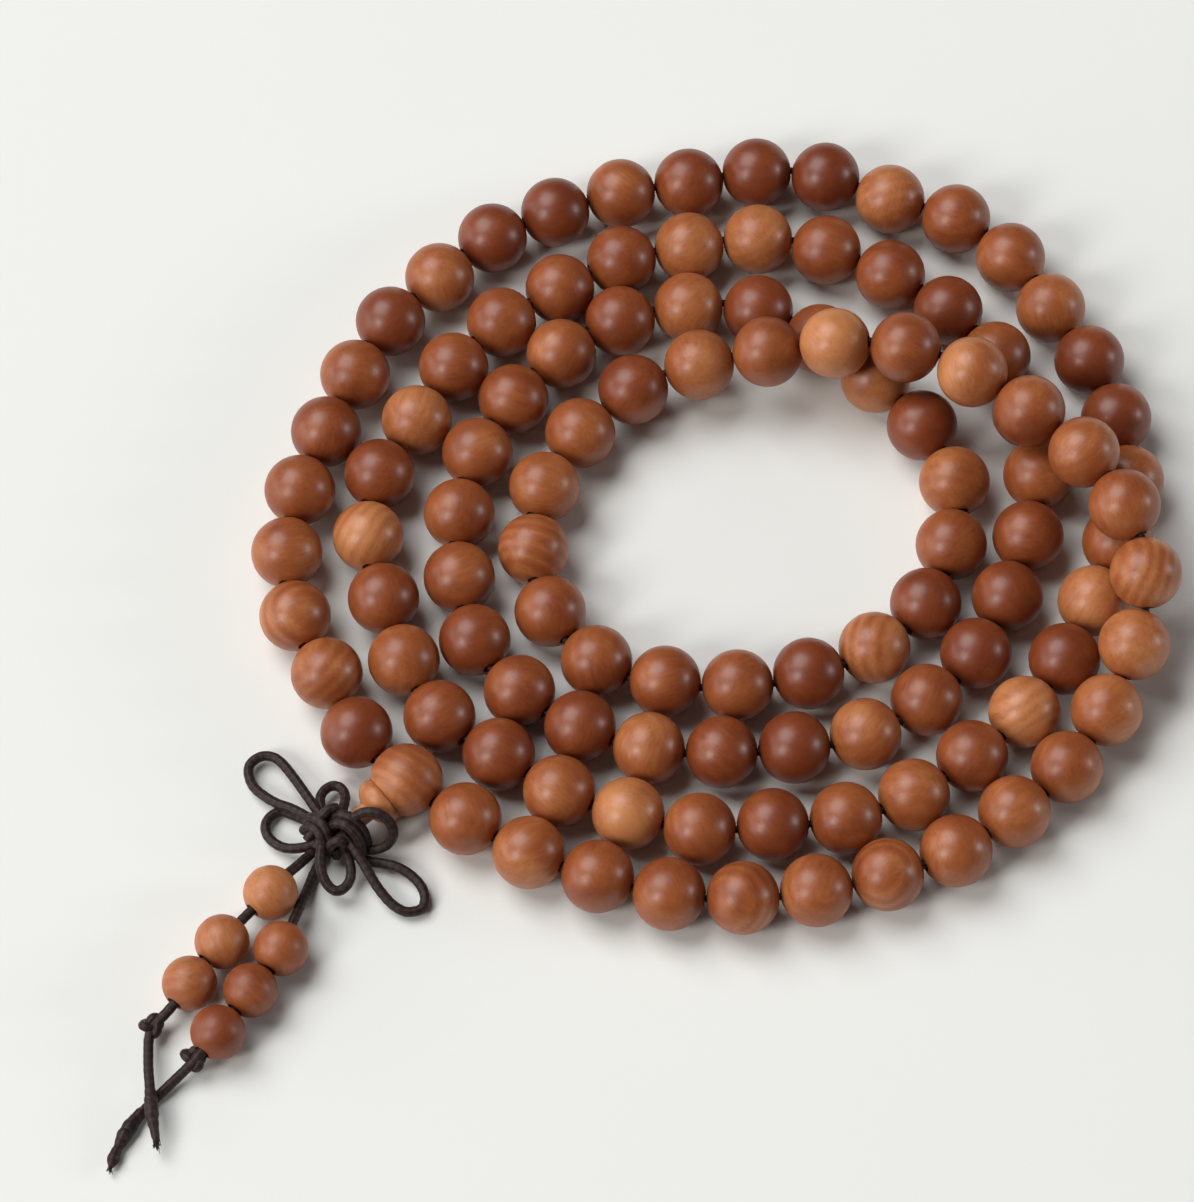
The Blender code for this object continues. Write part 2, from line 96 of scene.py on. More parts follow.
# Tassel cords. Each loop of the bow starts and ends inside the knot.
BOW_CENTRE = (-41.7, -36.8, 2.5)
BOW_LOOPS = {
    "upper_left": [
        (-42.5, -35.8, 2.4), (-44.3, -33, 2.2), (-46, -30.3, 1.8), (-47.5, -28.2, 1.5), (-48.6, -27.3, 1.3),
        (-49.9, -27.2, 1.2), (-51, -28, 1.1), (-51.2, -29.2, 1.1), (-50.6, -30.8, 1.2), (-49.4, -32, 1.4),
        (-48, -33, 1.7), (-46.3, -33.8, 2), (-44.5, -35, 2.4), (-42.6, -36.4, 2.6),
    ],
    "left": [
        (-42.8, -36.2, 1.5), (-44.6, -34.9, 1), (-46.2, -34.1, 0.9), (-47.6, -33.6, 0.8), (-48.7, -34.2, 0.8),
        (-49.2, -35.3, 0.9), (-48.9, -36.6, 1), (-48, -37.6, 1.2), (-46.8, -38.2, 1.4), (-45.2, -38.3, 1.7),
        (-42.8, -37.8, 2),
    ],
    "top": [
        (-42.4, -36, 2), (-43.1, -33.8, 1.9), (-43.3, -32.4, 1.7), (-42.8, -31.3, 1.5), (-41.9, -30.8, 1.4),
        (-41, -31.2, 1.5), (-40.6, -32.3, 1.8), (-40.7, -33.6, 2.2), (-41.2, -36, 2.6),
    ],
    "right": [
        (-40.6, -36.6, 3.2), (-39.5, -36.2, 4.9), (-38.6, -36, 5.7), (-37.6, -36, 6), (-36.6, -36.2, 5.9),
        (-35.6, -36.8, 5.1), (-35.2, -37.6, 3.9), (-35.8, -38.2, 2.6), (-36.9, -38.5, 1.9), (-38.2, -38.5, 1.8),
        (-39.5, -38.1, 2.2), (-40.9, -37.4, 2.5),
    ],
    "bottom": [
        (-42, -37.6, 2.6), (-42.9, -38.7, 2.8), (-43.1, -40.1, 2.8), (-42.8, -41.8, 2.5), (-42.1, -43, 2.1),
        (-41.2, -43.5, 2), (-40.3, -43, 2), (-39.8, -41.9, 2), (-39.9, -40.4, 2.1), (-40.8, -37.8, 2.2),
    ],
    "lower_right": [
        (-40.6, -37.4, 3.2), (-39.3, -39.2, 3), (-38.3, -40.7, 2.5), (-37.5, -42, 2), (-36.6, -43.3, 1.6),
        (-35.4, -44.6, 1.2), (-34.1, -45.4, 1), (-32.9, -45.4, 0.9), (-32, -44.9, 0.9), (-31.8, -43.7, 0.9),
        (-32.3, -42.4, 1), (-33.4, -41.2, 1.1), (-34.9, -40.3, 1.2), (-36.5, -39.8, 1), (-38, -39.5, 0.9),
        (-39.5, -38.8, 1.2), (-41, -37.6, 1.6),
    ],
}
LEFT_TAIL = [
    (-44.4, -39.2, 1.6), (-45.5, -40.7, 2.4), (-46.7, -42.1, 2.95), (-48.3, -44.1, 2.95), (-50.9, -46.9, 2.95),
    (-53.3, -49.8, 2.95), (-55.1, -52.3, 2.95), (-56.6, -54.6, 2.95), (-58.2, -57, 2.9), (-59.4, -58.2, 2.3),
    (-60.4, -59, 1.7), (-60.8, -60.3, 1.5), (-60.8, -61.8, 1.6), (-60.7, -63.8, 1.8), (-60.5, -65.6, 2),
    (-60.3, -67.4, 2), (-60.1, -69.2, 2), (-59.8, -70.8, 2), (-59.5, -72.2, 2),
]
RIGHT_TAIL = [
    (-43.1, -39.2, 0.65), (-43.8, -40.8, 0.65), (-44.3, -42.3, 0.8), (-44.9, -44.5, 1.8), (-45.8, -47.5, 2.9),
    (-47, -50.6, 2.95), (-48.6, -53.1, 2.95), (-50.1, -55.4, 2.95), (-51.8, -57.8, 2.95), (-53.4, -60.2, 2.95),
    (-55, -62.4, 2.95), (-56, -63.4, 2.4), (-57.2, -64.3, 1.5), (-58.7, -65.6, 0.9), (-60.3, -67.2, 0.6),
    (-61.8, -69, 0.6), (-63, -71, 0.6), (-63.8, -72.7, 0.7), (-64.3, -74.5, 0.8),
]
LEFT_BEADS = [(-48.3, -44.1, 2.95), (-53.3, -49.8, 2.95), (-56.6, -54.6, 2.95)]
RIGHT_BEADS = [(-47, -50.6, 2.95), (-50.1, -55.4, 2.95), (-53.4, -60.2, 2.95)]

# ---------------------------------------------------------------- shapes that differ from the CAD part

# Where each tail starts inside the knot, and where its stopper knot sits.
LEFT_ROOT = (-43.2, -37.7, 1.2)
RIGHT_ROOT = (-42.5, -37.9, 0.75)
LEFT_STOPPER = (-60.5, -58.9, 1.6)
RIGHT_STOPPER = (-55.9, -62.8, 2.1)
# (radius, distance from the guru bead's centre) in millimetres: a ball rounder than the CAD part's, and a
# thinner stem.
TOWER_OUTLINE = [
    (1.5, 3.69), (2.0, 3.44), (2.4, 3.17), (2.58, 3.3), (2.7, 3.75), (2.62, 4.25), (2.36, 4.7), (1.94, 5.06),
    (1.5, 5.3), (1.16, 5.5), (1.1, 5.9), (1.1, 6.9),
]
# Bore of the strand's beads and the guru bead, narrower than in the CAD part, and the width of a bore's lip.
BORE_RADIUS = 0.0007
HOLE_EDGE = 0.00012

# ---------------------------------------------------------------- looks

# (tone, linear colour), from dark red-brown wood to light tan.
WOOD_TONES = [
    (0.0, (0.160, 0.030, 0.0085)), (0.3, (0.215, 0.046, 0.0120)), (0.6, (0.32, 0.088, 0.024)),
    (1.0, (0.52, 0.20, 0.072)),
]
CORD_SHADES = [
    (0.25, (0.011, 0.0056, 0.0050)), (0.55, (0.030, 0.0162, 0.0142)), (0.85, (0.078, 0.047, 0.042)),
]
PORE_STOPS = [(0.0, (1, 1, 1)), (0.30, (1, 1, 1)), (0.36, (0, 0, 0))]

# How pale each bead's wood is, from 0, dark red-brown, to 9, light tan: beads 1 to 108, ten to a line.
BEAD_TONES = (
    "2565525262"
    "1432164562"
    "2557284542"
    "5753463737"
    "4543674425"
    "5532246126"
    "3434444536"
    "2572642625"
    "4445653648"
    "4745566655"
    "55554465"
)
TONE_STEP = 0.115
FIGURED_BEADS = (2, 3, 26, 38, 78, 84, 96, 102, 104)
LEFT_TONES = (0.9, 0.8, 0.65)
RIGHT_TONES = (0.6, 0.35, 0.42)
GURU_TONE = 0.62
TOWER_TONE = 0.82

BEAD_SIDES = 40
BEAD_RINGS = 26
GURU_SIDES = 64
TOWER_SIDES = 72

STRAND_SEED = 108
SMALL_BEAD_SEEDS = {"left": 4, "right": 5}
GURU_SEED = 5
TOWER_SEED = 11
FRAY_SEED = 7

# (radius scale, distance from the tip in millimetres) along the last stretch of each tail.
LEFT_TIP = [(0.55, 0.0), (0.85, 0.7), (0.95, 1.6), (1.4, 3.2), (1.3, 4.6), (1.0, 6.5)]
RIGHT_TIP = [(0.5, 0.0), (1.2, 0.6), (1.25, 1.2), (0.9, 2.1), (1.5, 3.6), (1.5, 4.8), (1.0, 7.5)]


# ---------------------------------------------------------------- laying the strand, as in the CAD part

SETTLE_ROUNDS = 400
PULL_SHARE = 0.45
PUSH_SHARE = 0.4


def settle(route):
    """Bead centres in metres: neighbours a pitch apart, no two nearer than touching, none below the table."""
    table = BEAD_RADIUS / MM
    centres = np.array([(p[0], p[1], p[2] if len(p) == 3 else table) for p in route], float)
    flat = np.array([len(p) == 2 for p in route])
    pitch, touching = BEAD_PITCH / MM, BEAD_CLEARANCE / MM
    count = len(centres)
    apart = np.abs(np.subtract.outer(np.arange(count), np.arange(count)))
    strangers = (apart > 1) & (apart < count - 1)
    for _ in range(SETTLE_ROUNDS):
        step = np.roll(centres, -1, axis=0) - centres
        length = np.linalg.norm(step, axis=1)[:, None]
        pull = step * (length - pitch) / length * PULL_SHARE
        centres += pull
        centres -= np.roll(pull, 1, axis=0)
        offset = centres[:, None] - centres[None]
        gap = np.linalg.norm(offset, axis=2) + np.eye(count)
        crowded = strangers & (gap < touching)
        push = np.where(crowded, (touching - gap) / gap, 0)[..., None] * offset
        centres += push.sum(axis=1) * PUSH_SHARE
        centres[:, 2] = np.where(flat, table, np.maximum(centres[:, 2], table))
    return centres * MM


def lay_strand():
    """Centres, bore directions and gap points of the guru (0) and beads 1 to 108, and the shift to centre."""
    centres = settle(STRAND)
    middle = (centres.min(axis=0) + centres.max(axis=0)) / 2
    shift = np.array([-middle[0], -middle[1], 0.0])
    centres = centres + shift
    centres[0, 2] -= GURU_SINK
    along = np.roll(centres, -1, axis=0) - np.roll(centres, 1, axis=0)
    along /= np.linalg.norm(along, axis=1)[:, None]
    half = math.sqrt(BEAD_RADIUS**2 - BEAD_BORE_RADIUS**2)
    gaps = (centres + along * half + np.roll(centres - along * half, -1, axis=0)) / 2
    return centres, along, gaps, shift


def placed(points, shift):
    return [np.array(p) * MM + shift for p in points]


def tower_axis(guru):
    flat = math.cos(TOWER_DROP)
    out = (math.cos(TOWER_HEADING) * flat, math.sin(TOWER_HEADING) * flat, -math.sin(TOWER_DROP))
    return np.array(guru), np.array(out)


# ---------------------------------------------------------------- curves and meshes

def smooth(points, steps=12, closed=False):
    """A Catmull-Rom curve through the points, as an array."""
    points = [np.array(p, float) for p in points]
    if closed:
        padded = [points[-1]] + points + points[:2]
    else:
        padded = [2 * points[0] - points[1]] + points + [2 * points[-1] - points[-2]]
    curve = []
    for a, b, c, d in zip(padded, padded[1:], padded[2:], padded[3:]):
        for k in range(steps):
            t = k / steps
            squared = (2 * a - 5 * b + 4 * c - d) * t**2
            cubed = (3 * b - a - 3 * c + d) * t**3
            curve.append(0.5 * (2 * b + (c - a) * t + squared + cubed))
    if not closed:
        curve.append(points[-1])
    return np.array(curve)


def lengths_along(line):
    return np.concatenate([[0], np.cumsum(np.linalg.norm(np.diff(line, axis=0), axis=1))])


def evenly(line, step):
    """The line again, with its points about one step apart."""
    along = lengths_along(line)
    at = np.linspace(0, along[-1], max(3, int(along[-1] / step) + 1))
    return np.stack([np.interp(at, along, line[:, k]) for k in range(3)], axis=1)


def basis(origin, direction, hint=(0, 0, -1)):
    """A matrix with Z along the direction and X as near the hint as it can be."""
    z = Vector(direction).normalized()
    x = Vector(hint)
    x = (x - z * x.dot(z)).normalized()
    y = z.cross(x)
    turned = Matrix((x, y, z)).transposed().to_4x4()
    return Matrix.Translation(Vector(origin)) @ turned


def quads(rows, columns, loop):
    """Faces of a grid whose columns close on themselves, and whose rows do too if it loops."""
    row = np.arange(rows if loop else rows - 1)[:, None]
    column = np.arange(columns)[None]
    start = row * columns
    after = (row + 1) % rows * columns
    beside = (column + 1) % columns
    corners = (start + column, start + beside, after + beside, after + column)
    return np.stack(corners, axis=-1).reshape(-1, 4)


def mesh_of(name, points, faces):
    mesh = bpy.data.meshes.new(name)
    mesh.from_pydata([tuple(p) for p in points], [], [tuple(f) for f in faces])
    mesh.shade_smooth()
    return mesh


def store(mesh, name, values):
    """A value on each point: a vector where each value has three numbers."""
    values = np.asarray(values, np.float32)
    vector = values.ndim == 2
    attribute = mesh.attributes.new(name, "FLOAT_VECTOR" if vector else "FLOAT", "POINT")
    attribute.data.foreach_set("vector" if vector else "value", values.ravel())


def lathe(name, profile, sides=BEAD_SIDES):
    """A body turned about Z from a closed (radius, height) profile, listed so that its faces point out."""
    radius, height = np.array(profile).T
    angle = np.linspace(0, 2 * math.pi, sides, endpoint=False)
    x = radius[:, None] * np.cos(angle)
    y = radius[:, None] * np.sin(angle)
    z = np.repeat(height[:, None], sides, axis=1)
    points = np.stack([x, y, z], axis=-1).reshape(-1, 3)
    return mesh_of(name, points, quads(len(radius), sides, loop=True))


OFF_AXIS = (0.31, 0.17, 0.93)


def swept(path, radius, radii=None, sides=24, relief=0.0, closed=False):
    """(points, faces, wind) of a tube. wind is the cosine and sine round it and the millimetres along it."""
    along = lengths_along(path) / MM
    if closed:
        ahead = np.roll(path, -1, axis=0) - np.roll(path, 1, axis=0)
    else:
        ahead = np.gradient(path, axis=0)
    ahead /= np.linalg.norm(ahead, axis=1)[:, None]
    side = np.cross(ahead[0], OFF_AXIS)
    sideways = []
    for direction in ahead:
        side = side - direction * side.dot(direction)
        side /= np.linalg.norm(side)
        sideways.append(side)
    sideways = np.array(sideways)
    upward = np.cross(ahead, sideways)
    angle = np.linspace(0, 2 * math.pi, sides, endpoint=False)
    size = np.full(len(path), radius) if radii is None else radius * radii
    size = size[:, None] * (1 + relief * braid(angle[None], along[:, None]))
    rings = (
        path[:, None]
        + sideways[:, None] * (np.cos(angle)[None] * size)[..., None]
        + upward[:, None] * (np.sin(angle)[None] * size)[..., None]
    )
    shape = rings.shape[:2]
    wind = np.stack([
        np.broadcast_to(np.cos(angle), shape),
        np.broadcast_to(np.sin(angle), shape),
        np.broadcast_to(along[:, None], shape),
    ], axis=-1)
    faces = [tuple(face) for face in quads(*shape, loop=closed)]
    if not closed:
        faces.append(tuple(range(sides))[::-1])
        faces.append(tuple(range((shape[0] - 1) * sides, shape[0] * sides)))
    return rings.reshape(-1, 3), faces, wind.reshape(-1, 3)


BRAID_CARRIERS = 8
BRAID_PITCH = 1.7


def braid(angle, along):
    """Height of the plaited yarns, about -1 to 1, at an angle round the cord and millimetres along it."""
    turn = 2 * math.pi * along / BRAID_PITCH
    half = BRAID_CARRIERS / 2
    return np.sin(half * angle + turn) * np.sin(half * angle - turn)


def joined(name, parts):
    """One mesh of several swept tubes, with their wind attribute."""
    points, faces, wind, first = [], [], [], 0
    for part_points, part_faces, part_wind in parts:
        points.append(part_points)
        wind.append(part_wind)
        faces += [tuple(i + first for i in face) for face in part_faces]
        first += len(part_points)
    mesh = mesh_of(name, np.concatenate(points), faces)
    store(mesh, "wind", np.concatenate(wind))
    return mesh


def add(name, mesh, skin, body, nodes, place=None):
    """Links a mesh as a piece that rides on a body and stands for CAD nodes. place is its world matrix."""
    piece = bpy.data.objects.new(name, mesh)
    bpy.context.scene.collection.objects.link(piece)
    if place is not None:
        piece.matrix_world = place
    mesh.materials.append(skin)
    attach(piece, body)
    if nodes:
        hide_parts(*nodes)
    return piece


# ---------------------------------------------------------------- materials

def new_material(name):
    made = bpy.data.materials.new(name)
    made.use_nodes = True
    return made, made.node_tree.nodes, made.node_tree.links


def node(nodes, kind, **values):
    made = nodes.new(kind)
    for key, value in values.items():
        if hasattr(made, key):
            setattr(made, key, value)
        else:
            made.inputs[key.replace("_", " ")].default_value = value
    return made


def math_node(nodes, links, operation, first, second=None):
    made = nodes.new("ShaderNodeMath")
    made.operation = operation
    for socket, value in zip(made.inputs, (first, second)):
        if value is None:
            continue
        if isinstance(value, (int, float)):
            socket.default_value = value
        else:
            links.new(value, socket)
    return made.outputs[0]


def ramp(nodes, links, factor, stops):
    made = nodes.new("ShaderNodeValToRGB")
    elements = made.color_ramp.elements
    while len(elements) < len(stops):
        elements.new(0.5)
    for element, (place, colour) in zip(elements, stops):
        element.position = place
        element.color = (*colour, 1)
    links.new(factor, made.inputs["Fac"])
    return made.outputs["Color"]


def wood(name, tones, roughness):
    """Turned sandalwood. grain_at is a place in the plank in millimetres, with the fibres along X."""
    made, nodes, links = new_material(name)
    shader = nodes["Principled BSDF"]
    place = node(nodes, "ShaderNodeAttribute", attribute_name="grain_at").outputs["Vector"]
    tone = node(nodes, "ShaderNodeAttribute", attribute_name="tone").outputs["Fac"]
    figure = node(nodes, "ShaderNodeAttribute", attribute_name="figure").outputs["Fac"]

    drift = node(nodes, "ShaderNodeTexNoise", Scale=0.16, Detail=2.0)
    links.new(place, drift.inputs["Vector"])

    stretch = node(nodes, "ShaderNodeMapping")
    stretch.inputs["Scale"].default_value = (0.16, 1.0, 1.0)
    links.new(place, stretch.inputs["Vector"])
    fibres = node(nodes, "ShaderNodeTexNoise", Scale=2.6, Detail=5.0, Roughness=0.62)
    links.new(stretch.outputs[0], fibres.inputs["Vector"])

    rings = node(nodes, "ShaderNodeTexWave", wave_type="RINGS", rings_direction="X", wave_profile="SIN")
    rings.inputs["Scale"].default_value = 0.24
    rings.inputs["Distortion"].default_value = 6.0
    rings.inputs["Detail"].default_value = 2.5
    rings.inputs["Detail Scale"].default_value = 0.5
    links.new(stretch.outputs[0], rings.inputs["Vector"])

    pore_place = node(nodes, "ShaderNodeMapping")
    pore_place.inputs["Scale"].default_value = (0.5, 4.5, 4.5)
    links.new(place, pore_place.inputs["Vector"])
    pores = node(nodes, "ShaderNodeTexNoise", Scale=1.6, Detail=1.0)
    links.new(pore_place.outputs[0], pores.inputs["Vector"])
    pore_mask = ramp(nodes, links, pores.outputs["Fac"], PORE_STOPS)

    def centred(value, share):
        return math_node(nodes, links, "MULTIPLY", math_node(nodes, links, "SUBTRACT", value, 0.5), share)

    level = math_node(nodes, links, "ADD", tone, centred(drift.outputs["Fac"], 0.9))
    level = math_node(nodes, links, "ADD", level, centred(fibres.outputs["Fac"], 0.42))
    ring_share = math_node(nodes, links, "MULTIPLY", centred(rings.outputs["Fac"], 0.17), figure)
    level = math_node(nodes, links, "ADD", level, ring_share)
    pore_share = math_node(nodes, links, "MULTIPLY", pore_mask, -0.16)
    level = math_node(nodes, links, "ADD", level, pore_share)
    links.new(ramp(nodes, links, level, tones), shader.inputs["Base Color"])

    rough = math_node(nodes, links, "MULTIPLY", fibres.outputs["Fac"], 0.16)
    links.new(math_node(nodes, links, "ADD", rough, roughness - 0.08), shader.inputs["Roughness"])
    shader.inputs["IOR"].default_value = 1.5
    shader.inputs["Specular IOR Level"].default_value = 0.5
    shader.inputs["Coat Weight"].default_value = 0.05
    shader.inputs["Coat Roughness"].default_value = 0.22

    bump = node(nodes, "ShaderNodeBump", Strength=0.16, Distance=0.00006)
    height = math_node(nodes, links, "SUBTRACT", fibres.outputs["Fac"], pore_mask)
    links.new(height, bump.inputs["Height"])
    links.new(bump.outputs[0], shader.inputs["Normal"])
    return made


def waxed_cord(name):
    """Plaited, waxed brown-black cord, with painted shade in the grooves between its yarns and painted light on
    their crests. wind is the cosine and sine round it and the millimetres along it.
    """
    made, nodes, links = new_material(name)
    shader = nodes["Principled BSDF"]
    wind = node(nodes, "ShaderNodeAttribute", attribute_name="wind").outputs["Vector"]
    split = nodes.new("ShaderNodeSeparateXYZ")
    links.new(wind, split.inputs[0])
    cosine, sine, along = split.outputs
    angle = math_node(nodes, links, "ARCTAN2", sine, cosine)
    around = math_node(nodes, links, "MULTIPLY", angle, BRAID_CARRIERS / 2)
    turn = math_node(nodes, links, "MULTIPLY", along, 2 * math.pi / BRAID_PITCH)
    one_way = math_node(nodes, links, "SINE", math_node(nodes, links, "ADD", around, turn))
    other_way = math_node(nodes, links, "SINE", math_node(nodes, links, "SUBTRACT", around, turn))
    plait_height_and_painted_shade = math_node(nodes, links, "MULTIPLY", one_way, other_way)

    fuzz = node(nodes, "ShaderNodeTexNoise", Scale=5.0, Detail=4.0, Roughness=0.7)
    links.new(wind, fuzz.inputs["Vector"])
    wax = node(nodes, "ShaderNodeTexNoise", Scale=0.9, Detail=2.0)
    links.new(wind, wax.inputs["Vector"])

    # Painted shade and light: the plait's height shifts the colour, darker in the grooves between the yarns and
    # lighter on their crests. The fuzz noise is the cord's own mottling.
    level = math_node(nodes, links, "MULTIPLY", plait_height_and_painted_shade, 0.16)
    level = math_node(nodes, links, "ADD", level, fuzz.outputs["Fac"])
    links.new(ramp(nodes, links, level, CORD_SHADES), shader.inputs["Base Color"])
    rough = math_node(nodes, links, "MULTIPLY", wax.outputs["Fac"], 0.3)
    links.new(math_node(nodes, links, "ADD", rough, 0.34), shader.inputs["Roughness"])
    shader.inputs["Specular IOR Level"].default_value = 0.22
    shader.inputs["Sheen Weight"].default_value = 0.05
    shader.inputs["Sheen Roughness"].default_value = 0.4
    bump = node(nodes, "ShaderNodeBump", Strength=0.35, Distance=0.00005)
    links.new(level, bump.inputs["Height"])
    links.new(bump.outputs[0], shader.inputs["Normal"])
    return made


def table_finish():
    made, nodes, _ = new_material("table_white")
    shader = nodes["Principled BSDF"]
    shader.inputs["Base Color"].default_value = (0.83, 0.835, 0.80, 1)
    shader.inputs["Roughness"].default_value = 0.85
    shader.inputs["Specular IOR Level"].default_value = 0.15
    return made


# ---------------------------------------------------------------- beads

def bead_profile(radius, bore, bulge=1.0):
    """Closed outline of a round bead: up the bore, round its softened lip, and down over the outside."""
    end = math.sqrt(radius**2 - bore**2)
    lip = math.asin((bore + HOLE_EDGE) / radius)
    outline = [(bore, -end + HOLE_EDGE * 1.2), (bore, 0.0), (bore, end - HOLE_EDGE * 1.2)]
    outline.append((bore + HOLE_EDGE * 0.3, end - HOLE_EDGE * 0.35))
    for k in range(BEAD_RINGS + 1):
        polar = lip + (math.pi - 2 * lip) * k / BEAD_RINGS
        outline.append((radius * math.sin(polar), radius * math.cos(polar) * bulge))
    outline.append((bore + HOLE_EDGE * 0.3, -end + HOLE_EDGE * 0.35))
    return outline[::-1]


def in_the_plank(mesh, tone, figure, turn, rng):
    """Stores each point's place in the plank the bead was turned from, and how pale and figured it is."""
    local = np.array([v.co for v in mesh.vertices], float) / MM
    cut = np.array(turn.to_matrix())
    store(mesh, "grain_at", local @ cut.T + rng.uniform(-60, 60, 3))
    store(mesh, "tone", np.full(len(local), tone))
    store(mesh, "figure", np.full(len(local), figure))


def random_turn(rng):
    return Euler(tuple(rng.uniform(0, 2 * math.pi, 3)))


def bead(name, centre, direction, radius, bore, tone, figure, skin, body, node_name, rng):
    mesh = lathe(name, bead_profile(radius, bore, rng.uniform(0.985, 1.0)))
    in_the_plank(mesh, tone, figure, random_turn(rng), rng)
    place = basis(centre, direction) @ Matrix.Rotation(rng.uniform(0, math.pi), 4, "Z")
    return add(name, mesh, skin, body, [node_name], place)


def home_of(number):
    """The body and the CAD node that hold a bead of the strand."""
    if number >= FIRST_SINGLE or number <= LAST_SINGLE:
        return f"bead_{number:03d}", f"bead_{number:03d}"
    first = LAST_SINGLE + 1 + (number - LAST_SINGLE - 1) // RUN_LENGTH * RUN_LENGTH
    return "strand", f"bead_run_{first:03d}_{first + RUN_LENGTH - 1:03d}"


def strand_beads(centres, along, skin):
    rng = np.random.default_rng(STRAND_SEED)
    for number in range(1, len(centres)):
        body, node_name = home_of(number)
        tone = TONE_STEP * int(BEAD_TONES[number - 1]) + rng.uniform(-0.03, 0.03)
        figure = 1.0 if number in FIGURED_BEADS else rng.uniform(0.1, 0.4)
        bead(f"wood_bead_{number:03d}", centres[number], along[number], BEAD_RADIUS, BORE_RADIUS,
             tone, figure, skin, body, node_name, rng)


def small_beads(side, route, spots, tones, shift, skin):
    rng = np.random.default_rng(SMALL_BEAD_SEEDS[side])
    path = smooth(placed(route, shift))
    made = []
    for n, (spot, tone) in enumerate(zip(placed(spots, shift), tones), 1):
        nearest = int(np.linalg.norm(path[1:-1] - spot, axis=1).argmin()) + 1
        direction = path[nearest + 1] - path[nearest - 1]
        home = f"{side}_bead_{n}"
        made.append(bead(f"wood_{home}", spot, direction, SMALL_BEAD_RADIUS, SMALL_BEAD_BORE_RADIUS,
                         tone, 0.3, skin, home, home, rng))
    return made


def guru_bead(centre, direction, skin):
    rng = np.random.default_rng(GURU_SEED)
    mesh = lathe("wood_guru_bead", bead_profile(BEAD_RADIUS, BORE_RADIUS), GURU_SIDES)
    in_the_plank(mesh, GURU_TONE, 0.75, Euler((0.4, 0.9, 0.3)), rng)
    place = basis(centre, direction)
    return add("wood_guru_bead", mesh, skin, "guru", ["guru_bead"], place)


def tower_bead(guru, skin):
    """The ball and stem, turned in one piece from TOWER_OUTLINE with its corners softened."""
    rng = np.random.default_rng(TOWER_SEED)
    origin, out = tower_axis(guru)
    outline = smooth([(radius * MM, height * MM, 0) for radius, height in TOWER_OUTLINE], 6)[:, :2]
    start, end = outline[0][1], outline[-1][1]
    profile = [(TOWER_BORE_RADIUS, end), (TOWER_BORE_RADIUS, start)] + [tuple(p) for p in outline]
    mesh = lathe("wood_tower_bead", profile, TOWER_SIDES)
    in_the_plank(mesh, TOWER_TONE, 1.0, Euler((0.2, 1.3, 0.5)), rng)
    place = basis(origin, out)
    return add("wood_tower_bead", mesh, skin, "tower", ["tower_bead"], place)


# ---------------------------------------------------------------- cords

FINE_STEP = 0.00013
FINE_SIDES = 32
RELIEF = 0.035
# Where the tower's cord starts in the guru bead, and how far it and the bow's stand clear of the stem.
TOWER_CORD_START = 0.0013
TOWER_CORD_PAST_STEM = 0.00015
BOW_PAST_STEM = 0.0003


def strand_cord(gaps, skin):
    path = smooth(gaps, 10, closed=True)
    mesh = joined("strand_thread", [swept(path, STRAND_CORD_RADIUS, sides=12, closed=True)])
    return add("strand_thread", mesh, skin, "strand", ["strand_cord"])


def tower_cord(guru, skin):
    origin, out = tower_axis(guru)
    finish = TOWER_OUTLINE[-1][1] * MM + TOWER_CORD_PAST_STEM
    ends = np.array([origin + out * TOWER_CORD_START, origin + out * finish])
    mesh = joined("tower_thread", [swept(evenly(ends, FINE_STEP), TASSEL_CORD_RADIUS, sides=FINE_SIDES)])
    return add("tower_thread", mesh, skin, "guru", ["tower_cord"])


# The knot's woven block: strands that run down to the right cross strands that run up to the right.
WEAVE_CENTRE = (-41.5, -36.9, 1.95)
WEAVE_HEADING = math.radians(-42)
WEAVE_COUNT = 4
WEAVE_SPACING = 1.02
WEAVE_REACH = 2.2
WEAVE_LIFT = 0.4
WEAVE_CROWN = 0.35
WEAVE_HALF_WIDTH = 2.2
DIP_START = 0.72
# Strands that lie on top of the block.
TOP_STRANDS = [
    [(-42.7, -35.4, 2.2), (-41.8, -35.5, 3.9), (-40.7, -35.8, 4.8), (-39.5, -36.4, 4.8), (-38.5, -37.2, 3.9),
     (-38.0, -38.1, 2.3)],
    [(-42.4, -36.6, 2.5), (-41.6, -36.6, 4.1), (-40.6, -36.9, 4.9), (-39.6, -37.6, 4.7), (-38.8, -38.4, 3.6),
     (-38.6, -39.1, 2.2)],
    [(-44.7, -35.1, 2.0), (-44.0, -35.5, 3.5), (-43.2, -36.2, 4.1), (-42.5, -37.1, 4.0), (-42.1, -38.1, 2.9),
     (-41.9, -38.8, 2.0)],
    [(-45.0, -36.3, 1.8), (-44.3, -36.4, 3.1), (-43.6, -37.0, 3.8), (-43.0, -37.8, 3.6), (-42.7, -38.7, 2.6),
     (-42.5, -39.2, 1.8)],
    [(-43.3, -36.3, 2.6), (-43.0, -35.9, 4.2), (-42.3, -35.4, 5.1), (-41.6, -34.9, 4.6), (-41.3, -34.5, 3.2),
     (-41.2, -34.3, 2.2)],
    [(-42.1, -38.5, 2.2), (-41.8, -38.7, 3.7), (-41.2, -38.7, 4.4), (-40.7, -38.5, 3.9), (-40.4, -38.2, 2.6)],
    [(-43.6, -38.4, 2.0), (-42.6, -37.4, 2.9), (-41.5, -36.6, 3.2), (-40.5, -35.6, 3.0), (-39.9, -34.7, 2.1)],
    [(-42.6, -39.2, 1.9), (-41.6, -38.2, 2.8), (-40.6, -37.4, 3.1), (-39.6, -36.4, 2.9), (-39.0, -35.6, 1.9)],
    [(-44.6, -37.4, 1.8), (-43.6, -36.4, 2.8), (-42.6, -35.4, 3.1), (-41.6, -34.4, 2.8), (-41.0, -33.8, 1.9)],
]


